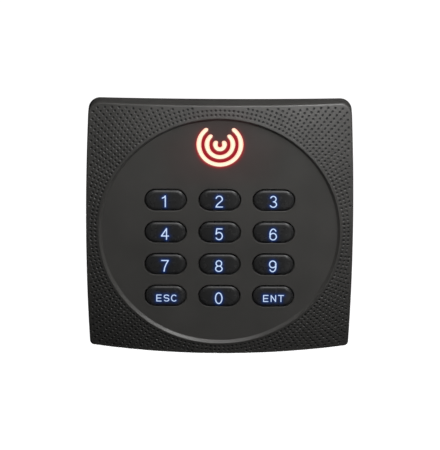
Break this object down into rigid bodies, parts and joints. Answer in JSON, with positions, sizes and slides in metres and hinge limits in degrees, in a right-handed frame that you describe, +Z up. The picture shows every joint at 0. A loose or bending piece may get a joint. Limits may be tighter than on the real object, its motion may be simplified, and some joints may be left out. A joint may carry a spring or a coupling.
{
  "type": "keypad access reader",
  "caption": "Square wall reader with a domed dimpled frame, a round recessed keypad of backlit pill keys and a lit arc symbol.",
  "frame": {"origin": "centre of the wall plate's back face, on the wall", "axes": "+Z up, -Y out of the wall towards the person at the keys, +X to that person's right"},
  "size_m": [0.086, 0.018, 0.086],
  "materials": {
    "cover_plastic": "satin moulded plastic, dimpled frame",
    "base_plastic": "fine moulded texture",
    "key_rubber": "lacquered silicone, semi-gloss",
    "carbon": "matte",
    "silicone": "translucent satin",
    "red_acrylic": "diffusing",
    "legend_light": "backlit ink",
    "led_resin": "clear resin",
    "circuit_board": "solder mask",
    "copper_wire": "enamelled wire",
    "chip_resin": "matte",
    "tinned_steel": "bright",
    "capacitor_can": "bright",
    "header_nylon": "nylon",
    "black_rubber": "matte",
    "plate_steel": "zinc plated",
    "brass": "turned",
    "screw_steel": "zinc plated"
  },
  "bodies": {
    "housing": {"front_cover": "cover_plastic", "keypad_mat": "silicone", "status_light_guide": "red_acrylic", "status_led_left": "led_resin", "status_led_middle": "led_resin", "status_led_right": "led_resin", "backlight_led_1": "led_resin", "backlight_led_2": "led_resin", "backlight_led_3": "led_resin", "backlight_led_4": "led_resin", "circuit_board": "circuit_board", "antenna_coil": "copper_wire", "controller_chip": "chip_resin", "reader_chip": "chip_resin", "voltage_regulator": "chip_resin", "output_driver": "chip_resin", "clock_crystal": "tinned_steel", "filter_capacitor_1": "capacitor_can", "filter_capacitor_2": "capacitor_can", "buzzer": "chip_resin", "cable_header": "header_nylon", "back_cover": "base_plastic", "cable_grommet": "black_rubber", "case_seal": "black_rubber", "wall_plate": "plate_steel", "threaded_insert": "brass", "locking_screw": "screw_steel", "case_screw_1": "screw_steel", "board_screw_1": "screw_steel", "case_screw_2": "screw_steel", "board_screw_2": "screw_steel", "case_screw_3": "screw_steel", "board_screw_3": "screw_steel", "case_screw_4": "screw_steel", "board_screw_4": "screw_steel"},
    "button_1": {"key_1": "key_rubber", "contact_1": "carbon"},
    "button_2": {"key_2": "key_rubber", "contact_2": "carbon"},
    "button_3": {"key_3": "key_rubber", "contact_3": "carbon"},
    "button_4": {"key_4": "key_rubber", "contact_4": "carbon"},
    "button_5": {"key_5": "key_rubber", "contact_5": "carbon"},
    "button_6": {"key_6": "key_rubber", "contact_6": "carbon"},
    "button_7": {"key_7": "key_rubber", "contact_7": "carbon"},
    "button_8": {"key_8": "key_rubber", "contact_8": "carbon"},
    "button_9": {"key_9": "key_rubber", "contact_9": "carbon"},
    "button_esc": {"key_esc": "key_rubber", "contact_esc": "carbon"},
    "button_0": {"key_0": "key_rubber", "contact_0": "carbon"},
    "button_ent": {"key_ent": "key_rubber", "contact_ent": "carbon"}
  },
  "joints": [
    {"name": "press_1", "type": "slide", "parent": "housing", "child": "button_1", "axis": [0, 1, 0], "range_m": [0, 0.001], "stiffness_N_per_m": 1200, "springref_m": -0.0005},
    {"name": "press_2", "type": "slide", "parent": "housing", "child": "button_2", "axis": [0, 1, 0], "range_m": [0, 0.001], "stiffness_N_per_m": 1200, "springref_m": -0.0005},
    {"name": "press_3", "type": "slide", "parent": "housing", "child": "button_3", "axis": [0, 1, 0], "range_m": [0, 0.001], "stiffness_N_per_m": 1200, "springref_m": -0.0005},
    {"name": "press_4", "type": "slide", "parent": "housing", "child": "button_4", "axis": [0, 1, 0], "range_m": [0, 0.001], "stiffness_N_per_m": 1200, "springref_m": -0.0005},
    {"name": "press_5", "type": "slide", "parent": "housing", "child": "button_5", "axis": [0, 1, 0], "range_m": [0, 0.001], "stiffness_N_per_m": 1200, "springref_m": -0.0005},
    {"name": "press_6", "type": "slide", "parent": "housing", "child": "button_6", "axis": [0, 1, 0], "range_m": [0, 0.001], "stiffness_N_per_m": 1200, "springref_m": -0.0005},
    {"name": "press_7", "type": "slide", "parent": "housing", "child": "button_7", "axis": [0, 1, 0], "range_m": [0, 0.001], "stiffness_N_per_m": 1200, "springref_m": -0.0005},
    {"name": "press_8", "type": "slide", "parent": "housing", "child": "button_8", "axis": [0, 1, 0], "range_m": [0, 0.001], "stiffness_N_per_m": 1200, "springref_m": -0.0005},
    {"name": "press_9", "type": "slide", "parent": "housing", "child": "button_9", "axis": [0, 1, 0], "range_m": [0, 0.001], "stiffness_N_per_m": 1200, "springref_m": -0.0005},
    {"name": "press_esc", "type": "slide", "parent": "housing", "child": "button_esc", "axis": [0, 1, 0], "range_m": [0, 0.001], "stiffness_N_per_m": 1200, "springref_m": -0.0005},
    {"name": "press_0", "type": "slide", "parent": "housing", "child": "button_0", "axis": [0, 1, 0], "range_m": [0, 0.001], "stiffness_N_per_m": 1200, "springref_m": -0.0005},
    {"name": "press_ent", "type": "slide", "parent": "housing", "child": "button_ent", "axis": [0, 1, 0], "range_m": [0, 0.001], "stiffness_N_per_m": 1200, "springref_m": -0.0005}
  ]
}
